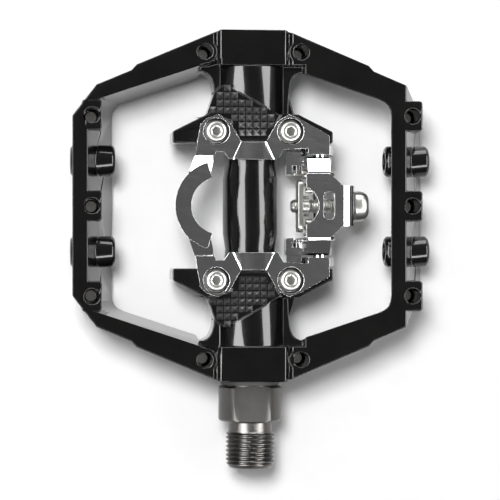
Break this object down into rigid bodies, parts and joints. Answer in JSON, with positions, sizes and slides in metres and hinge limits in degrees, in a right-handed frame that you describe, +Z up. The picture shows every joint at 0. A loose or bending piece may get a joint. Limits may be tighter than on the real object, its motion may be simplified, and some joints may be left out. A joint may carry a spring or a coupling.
{
  "type": "clipless bicycle pedal",
  "caption": "Right-hand bicycle pedal: open black cage with grub-screw pins on its flat face, a sprung cleat binding on the other, turning on a threaded spindle.",
  "frame": {"origin": "centre of the threaded spindle's inboard end face", "axes": "+Y outboard along the spindle, +Z up out of the binding face, -X towards the fixed front claw and the direction of travel"},
  "size_m": [0.1048, 0.1268, 0.0298],
  "materials": {
    "cage_black": "gloss black over forged and machined aluminium",
    "spindle_gunmetal": "dark gunmetal, satin, turned",
    "binding_chrome": "bright plated pressed steel",
    "spring_steel": "bright drawn wire",
    "pin_nickel": "bright nickel plated",
    "screw_zinc": "satin zinc plated",
    "bearing_steel": "ground bearing steel",
    "bush_bronze": "sintered bearing bronze",
    "seal_rubber": "matt black rubber",
    "cap_plastic": "satin black moulded plastic"
  },
  "bodies": {
    "platform": {"pedal_body": "cage_black", "end_cap": "cap_plastic", "end_cap_o_ring": "seal_rubber", "inboard_seal": "seal_rubber", "inboard_bush": "bush_bronze", "bearing_outer_race": "bearing_steel", "binding_frame": "binding_chrome", "binding_screw_1": "screw_zinc", "binding_screw_2": "screw_zinc", "binding_screw_3": "screw_zinc", "binding_screw_4": "screw_zinc", "pivot_shaft": "binding_chrome", "spring_outboard": "spring_steel", "spring_inboard": "spring_steel", "traction_pin_1": "pin_nickel", "traction_pin_2": "pin_nickel", "traction_pin_3": "pin_nickel", "traction_pin_4": "pin_nickel", "traction_pin_5": "pin_nickel", "traction_pin_6": "pin_nickel", "traction_pin_7": "pin_nickel", "traction_pin_8": "pin_nickel", "traction_pin_9": "pin_nickel", "traction_pin_10": "pin_nickel"},
    "spindle": {"spindle": "spindle_gunmetal", "bearing_inner_race": "bearing_steel", "lock_nut": "bearing_steel", "lock_washer": "bearing_steel"},
    "ball_ring": {"bearing_ball_cage": "bearing_steel"},
    "claw": {"rear_claw": "binding_chrome"},
    "tension_bolt": {"tension_bolt": "screw_zinc"},
    "tension_plate": {"tension_plate": "screw_zinc"}
  },
  "joints": [
    {"name": "spindle_spin", "type": "hinge", "parent": "platform", "child": "spindle", "pos_m": [0, 0.07605, 0], "axis": [0, 1, 0], "continuous": true},
    {"name": "ball_cage_spin", "type": "hinge", "parent": "platform", "child": "ball_ring", "pos_m": [0, 0.07605, 0], "axis": [0, 1, 0], "continuous": true},
    {"name": "claw_hinge", "type": "hinge", "parent": "platform", "child": "claw", "pos_m": [0.0201, 0.07605, 0.0025], "axis": [0, 1, 0], "range_deg": [0, 18], "stiffness_Nm_per_rad": 0.2, "springref_deg": -20.05, "deforming": ["spring_outboard", "spring_inboard"]},
    {"name": "tension_bolt_turn", "type": "hinge", "parent": "claw", "child": "tension_bolt", "pos_m": [0.0301, 0.07605, 0.007], "axis": [-1, 0, 0], "range_deg": [-722, 362]},
    {"name": "tension_plate_slide", "type": "slide", "parent": "claw", "child": "tension_plate", "axis": [1, 0, 0], "range_m": [-0.0016, 0.0008]}
  ],
  "couplings": [
    {"joint": "ball_cage_spin", "follows": "spindle_spin", "ratio": 0.4333},
    {"joint": "tension_bolt_turn", "follows": "tension_plate_slide", "rad_per_m": 7854}
  ]
}
